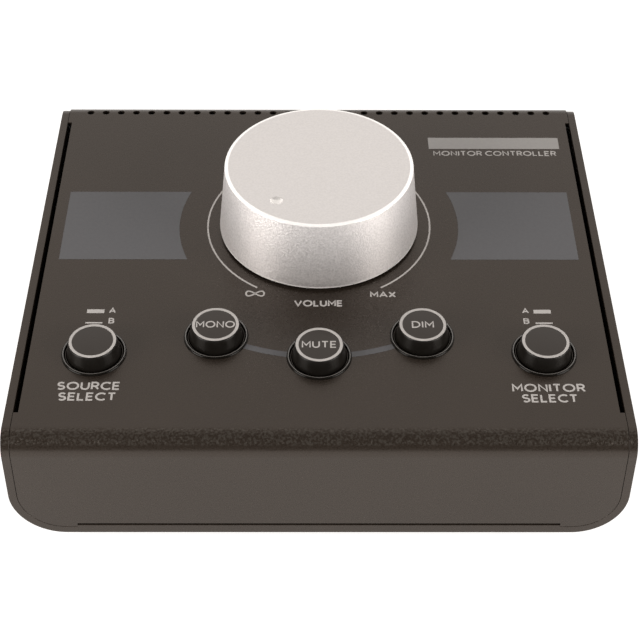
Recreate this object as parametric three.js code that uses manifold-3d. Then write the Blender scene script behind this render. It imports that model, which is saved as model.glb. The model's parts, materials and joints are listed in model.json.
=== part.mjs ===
// Desktop monitor controller: a sheet-metal case with a sloping top panel, one large volume knob,
// five push buttons and a row of jack sockets at the back.
//
// Part frame, millimetres: +X to the user's right, +Y to the back, +Z up. The origin is the middle of
// the footprint, on the surface that the feet stand on. The panel frame (u right, v up the slope,
// n out of the panel) has its origin where the volume knob's axis meets the panel.
import * as THREE from "three";
import { mergeVertices } from "three/addons/utils/BufferGeometryUtils.js";
import Module from "manifold-3d";

const wasm = await Module();
wasm.setup();

// ---------------------------------------------------------------- driving dimensions

const CASE_WIDTH = 190.6;
const CASE_DEPTH = 169.7;
const FOOT_HEIGHT = 4.5;
const FRONT_HEIGHT = 39.4;
const PANEL_SLOPE = THREE.MathUtils.degToRad(4);
const KNOB_FROM_FRONT = 99.6;
// GAP parts neighbours that would touch. OVER is how far a cutting tool runs past what it cuts.
const GAP = 0.3;
const SLIDE_FIT = 0.1;
const OVER = 1;

const WRAP_WALL = 2.6;
const WRAP_CORNER = 16.5;
const WRAP_REAR_INSET = 0.9;
const SHEET = 1.5;
const FRONT_BEND = 7;
const REAR_BEND = { cover: 7, wrap: 7.9 };
const REAR_SKIRT = 10;

const SIDE_SLOT = { width: 1.6, front: -87.5, back: 57.2 };
const LIP = { halfWidth: 75.3, height: 3.3, depth: 3 };
const LIP_SLOT = 0.8;
const FLANGE_DEPTH = 14;

const VENTS = { count: 31, pitch: 5.65, diameter: 2.6, v: 63.4 };

const KNOB = { topRadius: 31.4, bottomRadius: 34, top: 25.8, bottom: 1, chamfer: 0.9, wall: 2.4 };
const POINTER = { radius: 23.1, angle: THREE.MathUtils.degToRad(37.2), size: 2.1, depth: 0.8 };
const HUB = { boss: 8, plate: 2, clearance: 1.5, aboveBush: 1 };
const SHAFT = { radius: 3, belowTop: 7.5, flat: 1.4, flatFoot: 8.5 };
const BUSH = { radius: 4.6, top: 6.5 };
const POT = { radius: 12, top: -2, bottom: -13.7, floor: 2 };
const POT_WASHER = { radius: 8, bottom: 0.1, top: 0.8 };
const POT_NUT = { acrossFlats: 13, bottom: 1.1, top: 3.4 };

const BUTTONS = {
  source: [-70.7, -62.2],
  mono: [-32.7, -54.8],
  mute: [0, -63.7],
  dim: [32.7, -54.8],
  monitor: [70.7, -62.2],
};
const CAP = { topRadius: 7.55, baseRadius: 8.5, shoulder: 0.4, top: 5.3, bottom: -4.4, wall: 1.1 };
const BEZEL = { inner: 8.85, outer: 10.3, height: 0.9, lift: 0.05 };
const STEM = { radius: 1.5, inSwitch: 2, endPlay: 0.2, socketWall: 1.2, socketFoot: -1.5, socketDepth: 1 };
const SWITCH = { side: 8.4, top: -7.3, bottom: -13.7, bore: 5 };

const BOARD = { halfWidth: 84, front: -75, back: 17, top: -14, thickness: 1.6 };
const STANDOFFS = [[-79, -71], [79, -71], [-79, 12], [79, 12]];
const STANDOFF_RADIUS = 2.5;
const BOARD_SOCKET = { front: 8, back: 13, depth: 5, margin: 2 };

const LABEL = { outer: 87, front: -18.3, back: 17, arcRadius: 47.7, thickness: 0.15, lift: 0.05 };

const JACK = { pitch: 19.5, first: 14, width: 15, height: 14.4, length: 23, z: 28, bore: 3.3, nose: 5.4 };
const JACK_END = 2;
const MINI_JACK = { width: 8, height: 7, length: 13, bore: 1.8, nose: 3.4 };
const JACK_NUT = { acrossFlats: 13.4, thickness: 2.2 };
const MINI_NUT = { acrossFlats: 9, thickness: 1.8 };
const JACK_BOARD = { ahead: 12, edge: 1, socketFront: 2, socketBack: 7 };
const REAR_RECESS = 4;
const NOSE_INSET = 1.4;
const REAR_PANEL_DROP = 5;

const SCREWS = { x: 62, fromFront: 8, fromBack: 13, shank: 1.5, head: 2.8, headHeight: 1.4 };
const SCREW_HOLE = { radius: 1.8, boss: 4, seat: 3.2, seatDepth: 1.8 };
const FEET = { x: 72, fromFront: 22, fromBack: 26, radius: 8.5, chamfer: 0.8 };
const RIBBON = { halfWidth: 13, thickness: 0.9, sag: 4, steps: 18 };

// ---------------------------------------------------------------- derived places

const frontY = -CASE_DEPTH / 2;
const rearY = CASE_DEPTH / 2;
const floorZ = FOOT_HEIGHT;
const innerFloorZ = floorZ + WRAP_WALL;
const frontTopZ = floorZ + FRONT_HEIGHT;
const panelY = frontY + KNOB_FROM_FRONT * Math.cos(PANEL_SLOPE);
const panelZ = frontTopZ + KNOB_FROM_FRONT * Math.sin(PANEL_SLOPE);
const halfWidth = CASE_WIDTH / 2;
const innerHalf = halfWidth - WRAP_WALL;
const coverHalf = innerHalf - GAP;
const rearTopZ = frontTopZ + CASE_DEPTH * Math.tan(PANEL_SLOPE);
const flangeZ = floorZ + LIP.height + LIP_SLOT;
const rearPanelY = rearY - REAR_RECESS;

// ---------------------------------------------------------------- materials

function finish(color, roughness, metalness) {
  return new THREE.MeshStandardMaterial({ color, roughness, metalness });
}

const powderCoat = finish(0x4c4540, 0.5, 0.1);
const satinAluminium = finish(0xd2cbc6, 0.35, 0.9);
const blackPlastic = finish(0x1c1a18, 0.25, 0);
const capPlastic = finish(0x4a443f, 0.6, 0);
const labelGrey = finish(0x656361, 0.6, 0);
const nickel = finish(0xb8b6b0, 0.3, 0.95);
const boardGreen = finish(0x1f4a30, 0.6, 0);
const switchGrey = finish(0x8d8f92, 0.5, 0);
const rubber = finish(0x161616, 0.9, 0);
const ribbonGrey = finish(0x9a9ca0, 0.7, 0);

// ---------------------------------------------------------------- geometry helpers

function solidOf(geometry) {
  const bare = geometry.clone();
  bare.deleteAttribute("normal");
  bare.deleteAttribute("uv");
  const merged = mergeVertices(bare, 1e-4);
  const vertProperties = merged.attributes.position.array;
  const triVerts = new Uint32Array(merged.index.array);
  return new wasm.Manifold(new wasm.Mesh({ numProp: 3, vertProperties, triVerts }));
}

function geometryOf(solid) {
  const mesh = solid.getMesh();
  const geometry = new THREE.BufferGeometry();
  geometry.setAttribute("position", new THREE.BufferAttribute(new Float32Array(mesh.vertProperties), 3));
  geometry.setIndex(new THREE.BufferAttribute(new Uint32Array(mesh.triVerts), 1));
  geometry.computeVertexNormals();
  return geometry;
}

const join = (...parts) => geometryOf(parts.map(solidOf).reduce((all, part) => all.add(part)));
const common = (...parts) => geometryOf(parts.map(solidOf).reduce((all, part) => all.intersect(part)));

function cut(base, ...tools) {
  return geometryOf(tools.map(solidOf).reduce((left, tool) => left.subtract(tool), solidOf(base)));
}

// A box given by its lowest and highest corners.
function box(low, high) {
  const size = high.map((value, axis) => value - low[axis]);
  const middle = high.map((value, axis) => (value + low[axis]) / 2);
  return new THREE.BoxGeometry(...size).translate(...middle);
}

// A round bar along +Z from z = bottom to z = top.
function rod(radius, bottom, top, segments = 24, x = 0, y = 0) {
  const bar = new THREE.CylinderGeometry(radius, radius, top - bottom, segments).rotateX(Math.PI / 2);
  return bar.translate(x, y, (top + bottom) / 2);
}

// A round bar along +Y from y = front to y = back, centred on (x, z).
function rodAlongY(radius, front, back, x, z, segments = 24) {
  const bar = new THREE.CylinderGeometry(radius, radius, back - front, segments);
  return bar.translate(x, (front + back) / 2, z);
}

// A solid of revolution about Z. The points are [radius, height], anticlockwise in that plane.
function turned(points, segments) {
  const profile = points.map(([radius, height]) => new THREE.Vector2(radius, height));
  return new THREE.LatheGeometry(profile, segments).rotateX(Math.PI / 2);
}

// A ring of rectangular section about Z.
function ring(inner, outer, bottom, top, segments = 32) {
  const section = [[inner, bottom], [outer, bottom], [outer, top], [inner, top], [inner, bottom]];
  return turned(section, segments);
}

function extruded(shape, depth, curveSegments = 8) {
  return new THREE.ExtrudeGeometry(shape, { depth, bevelEnabled: false, curveSegments });
}

// Extrudes a shape drawn in (y, z) along X, from -half to +half.
function alongX(shape, half) {
  const turn = new THREE.Matrix4().set(0, 0, 1, 0, 1, 0, 0, 0, 0, 1, 0, 0, 0, 0, 0, 1);
  return extruded(shape, 2 * half, 3).translate(0, 0, -half).applyMatrix4(turn);
}

// Extrudes a shape drawn in (x, z) along Y, from y = front to y = back.
function alongY(shape, front, back) {
  return extruded(shape, back - front).rotateX(Math.PI / 2).translate(0, back, 0);
}

const panelGroup = new THREE.Group();
panelGroup.position.set(0, panelY, panelZ);
panelGroup.rotation.x = PANEL_SLOPE;
panelGroup.updateMatrix();

const placedOnPanel = (geometry) => geometry.applyMatrix4(panelGroup.matrix);
const panelPoint = (v, n) => new THREE.Vector3(0, v, n).applyMatrix4(panelGroup.matrix);

// ---------------------------------------------------------------- case outlines

// The side view of the case, drawn in (y, z): a flat bottom, an upright front, a rounded bend into the
// sloping top, and a rounded bend down to the rear. Every edge is moved inwards by inset.
function sideOutline(inset, bottomZ, rearBend = REAR_BEND.cover, rearInset = inset) {
  const slopeZ = (y) => frontTopZ + (y - frontY) * Math.tan(PANEL_SLOPE) - inset / Math.cos(PANEL_SLOPE);
  const front = frontY + inset;
  const rear = rearY - rearInset;
  const frontRadius = FRONT_BEND - inset;
  const rearRadius = rearBend - rearInset;
  const centreZ = (y, radius) => slopeZ(y) - radius / Math.cos(PANEL_SLOPE);
  const frontCentre = front + frontRadius;
  const rearCentre = rear - rearRadius;
  const leaning = Math.PI / 2 + PANEL_SLOPE;
  const outline = new THREE.Shape();
  outline.moveTo(front, bottomZ);
  outline.lineTo(rear, bottomZ);
  outline.absarc(rearCentre, centreZ(rearCentre, rearRadius), rearRadius, 0, leaning, false);
  outline.absarc(frontCentre, centreZ(frontCentre, frontRadius), frontRadius, leaning, Math.PI, false);
  outline.closePath();
  return outline;
}

// The front view of the case, drawn in (x, z), open above: straight sides and rounded lower corners.
function frontOutline(half, bottomZ, corner) {
  const outline = new THREE.Shape();
  outline.moveTo(half, rearTopZ + 10);
  outline.lineTo(-half, rearTopZ + 10);
  outline.absarc(-half + corner, bottomZ + corner, corner, Math.PI, 1.5 * Math.PI, false);
  outline.absarc(half - corner, bottomZ + corner, corner, 1.5 * Math.PI, 2 * Math.PI, false);
  outline.closePath();
  return outline;
}

const innerCorner = WRAP_CORNER - WRAP_WALL;
const insideWrap = (front, back, gap = GAP) =>
  alongY(frontOutline(innerHalf - gap, innerFloorZ + gap, innerCorner - gap), front, back);

const screwPlaces = [];
for (const x of [-SCREWS.x, SCREWS.x]) {
  screwPlaces.push([x, frontY + SCREWS.fromFront], [x, rearY - SCREWS.fromBack]);
}
const footPlaces = [];
for (const x of [-FEET.x, FEET.x]) {
  footPlaces.push([x, frontY + FEET.fromFront], [x, rearY - FEET.fromBack]);
}

// ---------------------------------------------------------------- case parts

// A clearance hole for a case screw, from below the case to above its flanges.
const screwHole = ([x, y]) => rod(SCREW_HOLE.radius, 0, flangeZ + 2 * FOOT_HEIGHT, 10, x, y);

// One bent sheet makes the bottom and both sides. Its front edge has a raised lip between the corners.
function outerWrap() {
  const outside = alongY(frontOutline(halfWidth, floorZ, WRAP_CORNER), frontY, rearY - WRAP_REAR_INSET);
  const inside = alongY(frontOutline(innerHalf, innerFloorZ, innerCorner), frontY - OVER, rearY + OVER);
  const profile = alongX(sideOutline(0, 0, REAR_BEND.wrap, WRAP_REAR_INSET), halfWidth + OVER);
  const shell = common(cut(outside, inside), profile);
  const lip = box(
    [-LIP.halfWidth, frontY, floorZ], [LIP.halfWidth, frontY + LIP.depth, floorZ + LIP.height]);
  const boss = ([x, y]) => rod(SCREW_HOLE.boss, innerFloorZ - OVER, flangeZ - GAP, 12, x, y);
  const bosses = screwPlaces.map(boss);
  const holes = screwPlaces.map(screwHole);
  const seatTop = floorZ + SCREW_HOLE.seatDepth;
  const seats = screwPlaces.map(([x, y]) => rod(SCREW_HOLE.seat, floorZ - OVER, seatTop, 14, x, y));
  return cut(join(shell, lip, ...bosses), ...holes, ...seats);
}

// One bent sheet makes the front face, the sloping panel and the rear edge with its vent holes.
function topCover() {
  const outside = alongX(sideOutline(0, flangeZ), coverHalf);
  const inside = alongX(sideOutline(SHEET, floorZ), coverHalf + OVER);
  const flat = SHEET * 2;
  const corners = box(
    [-coverHalf, frontY, innerFloorZ], [coverHalf, frontY + SHEET, flangeZ + flat]);
  const bottomSlot = box([-LIP.halfWidth, frontY - OVER, 0], [LIP.halfWidth, frontY + flat, flangeZ]);
  const rearOpening = box([-halfWidth, rearY - flat, 0], [halfWidth, rearY + OVER, rearTopZ - REAR_SKIRT]);
  const flange = box(
    [-LIP.halfWidth, frontY + SHEET / 2, flangeZ], [LIP.halfWidth, frontY + FLANGE_DEPTH, flangeZ + SHEET]);
  const frontHoles = screwPlaces.filter(([, y]) => y < 0).map(screwHole);
  const sheet = cut(join(cut(outside, inside), corners), bottomSlot, rearOpening);
  const stud = ([u, v]) => placedOnPanel(rod(STANDOFF_RADIUS, BOARD.top + GAP, -SHEET / 2, 12, u, v));
  const studs = STANDOFFS.map(stud);
  const body = join(common(sheet, insideWrap(frontY - OVER, rearY + OVER)), flange, ...studs);
  return cut(body, ...frontHoles, ...coverOpenings());
}

// What is cut out of the panel: side slots, button holes, the knob's bush hole and the row of vents.
function coverOpenings() {
  const reach = 3 * SHEET;
  const hole = (radius, segments, u, v) => placedOnPanel(rod(radius, -reach, reach, segments, u, v));
  const openings = [hole(BUSH.radius + GAP, 24, 0, 0)];
  for (const side of [-1, 1]) {
    const edges = [side * (innerHalf - SIDE_SLOT.width), side * halfWidth].sort((a, b) => a - b);
    openings.push(placedOnPanel(box([edges[0], SIDE_SLOT.front, -reach], [edges[1], SIDE_SLOT.back, reach])));
  }
  for (const [u, v] of Object.values(BUTTONS)) {
    openings.push(hole(BEZEL.inner, 24, u, v));
  }
  for (let i = 0; i < VENTS.count; i += 1) {
    const u = (i - (VENTS.count - 1) / 2) * VENTS.pitch;
    openings.push(hole(VENTS.diameter / 2, 6, u, VENTS.v));
  }
  return openings;
}

const jackPlaces = [];
for (let i = 0; i < 4; i += 1) {
  const x = JACK.first + i * JACK.pitch;
  jackPlaces.push(-x, x);
}
jackPlaces.sort((a, b) => a - b);

// The upright sheet at the back, with a hole for each jack and a flange along its foot.
function rearPanel() {
  const top = rearTopZ - REAR_PANEL_DROP;
  const plate = common(
    insideWrap(rearPanelY - SHEET, rearPanelY),
    box([-halfWidth, 0, 0], [halfWidth, rearY, top]));
  const flange = box(
    [-LIP.halfWidth, rearPanelY - FLANGE_DEPTH, flangeZ],
    [LIP.halfWidth, rearPanelY - SHEET / 2, flangeZ + SHEET]);
  const jackHoles = jackPlaces.map((x) => rodAlongY(JACK.nose + GAP, 0, rearY + OVER, x, JACK.z, 16));
  const miniHole = rodAlongY(MINI_JACK.nose + GAP, 0, rearY + OVER, 0, JACK.z, 16);
  const screwHoles = screwPlaces.filter(([, y]) => y > 0).map(screwHole);
  return cut(join(plate, flange), ...jackHoles, miniHole, ...screwHoles);
}

// A blank grey field on the panel. Its inner edge is an arc about the knob's axis. The left one is the
// right one's mirror image, drawn upside down and then turned half round.
function labelField(side) {
  const front = side > 0 ? LABEL.front : -LABEL.back;
  const back = side > 0 ? LABEL.back : -LABEL.front;
  const sweep = (v) => Math.asin(v / LABEL.arcRadius);
  const outline = new THREE.Shape();
  outline.moveTo(LABEL.outer, front);
  outline.lineTo(LABEL.outer, back);
  outline.absarc(0, 0, LABEL.arcRadius, sweep(back), sweep(front), true);
  outline.closePath();
  const field = extruded(outline, LABEL.thickness, 16).translate(0, 0, LABEL.lift);
  return side > 0 ? field : field.rotateZ(Math.PI);
}

// ---------------------------------------------------------------- knob and potentiometer

// A turned aluminium cup with a small chamfer round its top and a dimple that points at the setting.
function knobShell() {
  const { topRadius, bottomRadius, top, bottom, chamfer, wall } = KNOB;
  const cup = turned([
    [0, top - wall],
    [topRadius - wall - 0.5, top - wall],
    [bottomRadius - wall, bottom],
    [bottomRadius, bottom],
    [topRadius + 0.1, top - chamfer],
    [topRadius - chamfer, top],
    [0, top],
  ], 60);
  const dimple = new THREE.SphereGeometry(POINTER.size, 12, 6).scale(1, 1, POINTER.depth / POINTER.size);
  const u = -POINTER.radius * Math.sin(POINTER.angle);
  const v = -POINTER.radius * Math.cos(POINTER.angle);
  return cut(cup, dimple.translate(u, v, top));
}

// The plastic boss under the cup that grips the shaft.
function knobHub() {
  const under = KNOB.top - KNOB.wall - GAP;
  const disc = KNOB.topRadius - KNOB.wall - HUB.clearance;
  const plateFoot = under - HUB.plate;
  const foot = BUSH.top + HUB.aboveBush;
  const hub = turned([
    [0, foot], [HUB.boss, foot], [HUB.boss, plateFoot],
    [disc, plateFoot], [disc, under], [0, under],
  ], 30);
  return cut(hub, rod(SHAFT.radius + GAP / 2, 0, KNOB.top - SHAFT.belowTop + GAP, 24));
}

// The D-shaped shaft that the hub is pressed on.
function potShaft() {
  const { radius, belowTop, flat, flatFoot } = SHAFT;
  const tip = KNOB.top - belowTop;
  const notch = box([-radius, radius - flat, flatFoot], [radius, radius + OVER, tip + OVER]);
  return cut(rod(radius, POT.bottom + POT.floor + GAP, tip, 24), notch);
}

// The potentiometer's can and threaded bush, bored for the shaft.
function potBody() {
  const can = rod(POT.radius, POT.bottom, POT.top, 32);
  const bush = rod(BUSH.radius, POT.top - OVER, BUSH.top, 24);
  return cut(join(can, bush), rod(SHAFT.radius + SLIDE_FIT, POT.bottom + POT.floor, BUSH.top + OVER, 24));
}

// A hexagonal nut about Z with a plain hole.
function hexNut(acrossFlats, hole, bottom, top) {
  const nut = rod(acrossFlats / Math.sqrt(3), bottom, top, 6);
  return cut(nut, rod(hole, bottom - OVER, top + OVER, 16));
}

const potWasher = () => ring(BUSH.radius + GAP, POT_WASHER.radius, POT_WASHER.bottom, POT_WASHER.top);

const potNut = () => hexNut(POT_NUT.acrossFlats, BUSH.radius + GAP, POT_NUT.bottom, POT_NUT.top);

// ---------------------------------------------------------------- buttons

// A hollow cap whose side flares out downwards, with a socket under its top for the stem.
function buttonCap() {
  const { topRadius, baseRadius, shoulder, top, bottom, wall } = CAP;
  const { socketWall, socketFoot, socketDepth } = STEM;
  const socket = STEM.radius + SLIDE_FIT;
  const underside = top - wall;
  return turned([
    [0, underside - socketDepth],
    [socket, underside - socketDepth],
    [socket, socketFoot],
    [socket + socketWall, socketFoot],
    [socket + socketWall, underside],
    [topRadius - wall, underside],
    [baseRadius - wall, bottom],
    [baseRadius, bottom],
    [baseRadius, shoulder],
    [topRadius, top],
    [0, top],
  ], 24);
}

const buttonBezel = () => ring(BEZEL.inner, BEZEL.outer, BEZEL.lift, BEZEL.height, 24);

function buttonStem() {
  const socketTop = CAP.top - CAP.wall - STEM.socketDepth;
  return rod(STEM.radius, SWITCH.top - STEM.inSwitch, socketTop - STEM.endPlay, 16);
}

function switchBody() {
  const half = SWITCH.side / 2;
  const block = box([-half, -half, SWITCH.bottom], [half, half, SWITCH.top]);
  return cut(block, rod(STEM.radius + GAP / 2, SWITCH.top - SWITCH.bore, SWITCH.top + OVER, 16));
}

// ---------------------------------------------------------------- boards and sockets

function mainBoard() {
  const bottom = BOARD.top - BOARD.thickness;
  const board = box([-BOARD.halfWidth, BOARD.front, bottom], [BOARD.halfWidth, BOARD.back, BOARD.top]);
  const socket = box(
    [-RIBBON.halfWidth - BOARD_SOCKET.margin, BOARD_SOCKET.front, bottom - BOARD_SOCKET.depth],
    [RIBBON.halfWidth + BOARD_SOCKET.margin, BOARD_SOCKET.back, bottom + 0.5]);
  return join(board, socket);
}

const jackRearY = rearPanelY - SHEET - GAP;
const jackBoardTop = JACK.z - JACK.height / 2 - GAP;
const jackBoardFront = jackRearY - JACK.length - JACK_BOARD.ahead;

function jackBoard() {
  const half = Math.max(...jackPlaces) + JACK.width / 2 + JACK_BOARD.edge;
  const board = box(
    [-half, jackBoardFront, jackBoardTop - BOARD.thickness],
    [half, jackRearY - JACK_BOARD.edge, jackBoardTop]);
  const socketHalf = RIBBON.halfWidth + BOARD_SOCKET.margin;
  const socket = box(
    [-socketHalf, jackBoardFront + JACK_BOARD.socketFront, jackBoardTop - 0.5],
    [socketHalf, jackBoardFront + JACK_BOARD.socketBack, jackBoardTop + BOARD_SOCKET.depth]);
  return join(board, socket);
}

// A socket block with a round nose that passes through the rear panel, and a bore open at the back.
function jackSocket(x, { width, height, length, bore, nose }, bottomZ) {
  const block = box(
    [x - width / 2, jackRearY - length, bottomZ], [x + width / 2, jackRearY, bottomZ + height]);
  const tube = rodAlongY(nose, jackRearY - OVER, rearY - NOSE_INSET, x, JACK.z, 16);
  const boreFront = jackRearY - length + JACK_END;
  return cut(join(block, tube), rodAlongY(bore, boreFront, rearY + OVER, x, JACK.z, 16));
}

function jackNut(x, nose, { acrossFlats, thickness }) {
  const nut = hexNut(acrossFlats, nose + GAP, 0, thickness).rotateX(-Math.PI / 2);
  return nut.translate(x, rearPanelY + GAP, JACK.z);
}

// The flat cable sags between the two board sockets. Its side view is drawn in (y, z), and the points of
// its route are chosen by hand.
function ribbonCable() {
  const { front, back, depth } = BOARD_SOCKET;
  const start = panelPoint((front + back) / 2, BOARD.top - BOARD.thickness - depth);
  const endY = jackBoardFront + (JACK_BOARD.socketFront + JACK_BOARD.socketBack) / 2;
  const end = new THREE.Vector3(0, endY, jackBoardTop + depth);
  const low = Math.min(start.z, end.z) - RIBBON.sag;
  const middle = start.clone().lerp(end, 0.45);
  const curve = new THREE.CatmullRomCurve3([
    new THREE.Vector3(start.y, start.z - GAP, 0),
    new THREE.Vector3(start.y + 1, start.z - 2.5, 0),
    new THREE.Vector3(middle.y, low, 0),
    new THREE.Vector3(end.y - 6, end.z + 1.5, 0),
    new THREE.Vector3(end.y - 1.5, end.z + 4, 0),
    new THREE.Vector3(end.y, end.z + GAP, 0),
  ]);
  const upper = [];
  const lower = [];
  for (let i = 0; i <= RIBBON.steps; i += 1) {
    const point = curve.getPoint(i / RIBBON.steps);
    const along = curve.getTangent(i / RIBBON.steps);
    const side = new THREE.Vector2(-along.y, along.x).multiplyScalar(RIBBON.thickness / 2);
    upper.push(new THREE.Vector2(point.x + side.x, point.y + side.y));
    lower.unshift(new THREE.Vector2(point.x - side.x, point.y - side.y));
  }
  return alongX(new THREE.Shape([...lower, ...upper]), RIBBON.halfWidth);
}

// ---------------------------------------------------------------- feet and screws

function rubberFoot() {
  const { radius, chamfer } = FEET;
  const top = FOOT_HEIGHT - 0.05;
  return turned([[0, 0], [radius - chamfer, 0], [radius, chamfer], [radius, top], [0, top]], 20);
}

function caseScrew() {
  const seat = floorZ + SCREW_HOLE.seatDepth - GAP;
  const head = rod(SCREWS.head, seat - SCREWS.headHeight, seat, 14);
  return join(head, rod(SCREWS.shank, seat - 0.5, flangeZ + SHEET + 2, 10));
}

// ---------------------------------------------------------------- assembly

const monitorController = new THREE.Group();

function add(parent, name, geometry, material, position = [0, 0, 0]) {
  const mesh = new THREE.Mesh(geometry, material);
  mesh.name = name;
  mesh.position.set(...position);
  parent.add(mesh);
}

add(monitorController, "outer_wrap", outerWrap(), powderCoat);
add(monitorController, "top_cover", topCover(), powderCoat);
add(monitorController, "rear_panel", rearPanel(), powderCoat);
add(monitorController, "jack_board", jackBoard(), boardGreen);
add(monitorController, "ribbon_cable", ribbonCable(), ribbonGrey);

jackPlaces.forEach((x, i) => {
  add(monitorController, "jack_" + (i + 1), jackSocket(x, JACK, JACK.z - JACK.height / 2), blackPlastic);
  add(monitorController, "jack_nut_" + (i + 1), jackNut(x, JACK.nose, JACK_NUT), nickel);
});
add(monitorController, "mini_jack", jackSocket(0, MINI_JACK, JACK.z - JACK.height / 2), blackPlastic);
add(monitorController, "mini_jack_nut", jackNut(0, MINI_JACK.nose, MINI_NUT), nickel);

footPlaces.forEach(([x, y], i) => {
  add(monitorController, "foot_" + (i + 1), rubberFoot(), rubber, [x, y, 0]);
});
screwPlaces.forEach(([x, y], i) => {
  add(monitorController, "case_screw_" + (i + 1), caseScrew(), nickel, [x, y, 0]);
});

add(panelGroup, "label_left", labelField(-1), labelGrey);
add(panelGroup, "label_right", labelField(1), labelGrey);
add(panelGroup, "main_board", mainBoard(), boardGreen);
add(panelGroup, "pot_body", potBody(), nickel);
add(panelGroup, "pot_washer", potWasher(), nickel);
add(panelGroup, "pot_nut", potNut(), nickel);
add(panelGroup, "pot_shaft", potShaft(), nickel);
add(panelGroup, "knob_hub", knobHub(), blackPlastic);
add(panelGroup, "knob_shell", knobShell(), satinAluminium);

for (const [name, [u, v]] of Object.entries(BUTTONS)) {
  add(panelGroup, name + "_cap", buttonCap(), capPlastic, [u, v, 0]);
  add(panelGroup, name + "_stem", buttonStem(), blackPlastic, [u, v, 0]);
  add(panelGroup, name + "_bezel", buttonBezel(), blackPlastic, [u, v, 0]);
  add(panelGroup, name + "_switch", switchBody(), switchGrey, [u, v, 0]);
}
monitorController.add(panelGroup);

export default monitorController;
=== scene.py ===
"""A desktop monitor controller: sheet-metal case, large volume knob, five push buttons, rear jacks.

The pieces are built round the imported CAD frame, in metres. Sizes are written in millimetres, and
MM or in_mm carries them over. The panel frame (u right, v up the slope, n out of the panel)
starts on the volume knob's axis.
"""

import json
import math

import bmesh
import bpy
from mathutils import Matrix, Vector


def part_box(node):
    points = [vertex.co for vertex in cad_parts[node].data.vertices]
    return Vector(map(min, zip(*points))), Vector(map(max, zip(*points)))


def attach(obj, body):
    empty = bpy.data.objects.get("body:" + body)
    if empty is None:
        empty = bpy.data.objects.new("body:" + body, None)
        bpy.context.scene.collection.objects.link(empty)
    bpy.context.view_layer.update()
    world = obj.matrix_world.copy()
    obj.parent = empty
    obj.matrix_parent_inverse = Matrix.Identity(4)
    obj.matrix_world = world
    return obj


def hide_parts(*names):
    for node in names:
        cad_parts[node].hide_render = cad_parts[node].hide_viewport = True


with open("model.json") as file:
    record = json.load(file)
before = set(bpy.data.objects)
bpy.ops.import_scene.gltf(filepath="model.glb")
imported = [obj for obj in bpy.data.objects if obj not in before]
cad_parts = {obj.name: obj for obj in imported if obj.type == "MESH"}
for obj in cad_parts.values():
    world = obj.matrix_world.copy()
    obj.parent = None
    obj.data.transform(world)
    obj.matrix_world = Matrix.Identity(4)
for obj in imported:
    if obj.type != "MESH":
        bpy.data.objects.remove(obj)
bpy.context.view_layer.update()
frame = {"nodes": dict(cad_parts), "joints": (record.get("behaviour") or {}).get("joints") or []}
MM = 0.001

# ---------------------------------------------------------------- places taken from the frame

joints = {joint["name"]: joint for joint in frame["joints"]}
knob_origin = Vector(joints["volume_turn"]["pos_m"])
panel_normal = -Vector(joints["volume_turn"]["axis"]).normalized()
slope = math.atan2(-panel_normal.y, panel_normal.z)
PANEL = Matrix.Translation(knob_origin) @ Matrix.Rotation(slope, 4, "X")
BUTTON_NAMES = ["source", "mono", "mute", "dim", "monitor"]


def centre_of(node):
    """The middle of a CAD node's box, in the row frame."""
    low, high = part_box(node)
    return (low + high) / 2


def on_panel(node):
    """Where the middle of a CAD node lies on the panel, as (u, v)."""
    local = PANEL.inverted() @ centre_of(node)
    return local.x, local.y


button_places = {name: on_panel(name + "_bezel") for name in BUTTON_NAMES}
wrap_low, wrap_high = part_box("outer_wrap")
front_y = wrap_low.y
rear_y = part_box("top_cover")[1].y
floor_z = wrap_low.z
half_width = wrap_high.x
panel_front_z = knob_origin.z + (front_y - knob_origin.y) * math.tan(slope)

# ---------------------------------------------------------------- sheet-metal sizes

# The wrap: floor and sides in one sheet.
WALL = 2.6 * MM
CORNER = 16.5 * MM
REAR_INSET = 0.9 * MM
WRAP_REAR_BEND = 7.9 * MM
RIM_ROUND = 0.65 * MM
RIM_ANGLE = math.radians(40)
SCREW_HOLE = 1.8 * MM
SCREW_SEAT = 3.2 * MM
SEAT_DEPTH = 1.8 * MM
BOSS_RADIUS = 4 * MM

# The cover: front, sloping panel and rear skirt in one sheet, and the lip under its front.
SHEET = 1.5 * MM
SEAM = 0.15 * MM
FRONT_BEND = 7 * MM
COVER_REAR_BEND = 7 * MM
REAR_SKIRT = 10 * MM
LIP_HALF = 75.3 * MM
LIP_HEIGHT = 3.3 * MM
LIP_SLOT = 0.8 * MM
LIP_DEPTH = 3 * MM
FLANGE = 14 * MM

# What is cut through the panel. The slots and vents are placed along v.
SLOT_WIDTH = 1.6 * MM
SLOT_ENDS = (-87.5 * MM, 57.2 * MM)
VENT_COUNT = 31
VENT_PITCH = 5.65 * MM
VENT_RADIUS = 1.3 * MM
VENT_V = 63.4 * MM
BEZEL_HOLE = 8.85 * MM
BUSH_HOLE = 4.9 * MM
CUT_HALF = 5 * MM

# The rear panel stands that far inside the cover's end. OPEN_TOP is how far the case's front view
# runs on above it before it is cut, and REAR_CUT is long enough to cut it.
REAR_RECESS = 4 * MM
OPEN_TOP = 10 * MM
REAR_CUT = 40 * MM

inner_half = half_width - WALL
cover_half = inner_half - SEAM
inner_floor = floor_z + WALL
flange_z = floor_z + LIP_HEIGHT + LIP_SLOT
rear_top = panel_front_z + (rear_y - front_y) * math.tan(slope)
rear_panel_y = rear_y - REAR_RECESS
screw_places = [centre_of(f"case_screw_{i}") for i in range(1, 5)]

# ---------------------------------------------------------------- mesh helpers

ON_AXIS = 1e-9


def arc(centre, radius, start, end, steps):
    """Points along an arc from angle start to angle end, in degrees."""
    points = []
    for i in range(steps + 1):
        angle = math.radians(start + (end - start) * i / steps)
        points.append((centre[0] + radius * math.cos(angle), centre[1] + radius * math.sin(angle)))
    return points


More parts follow.
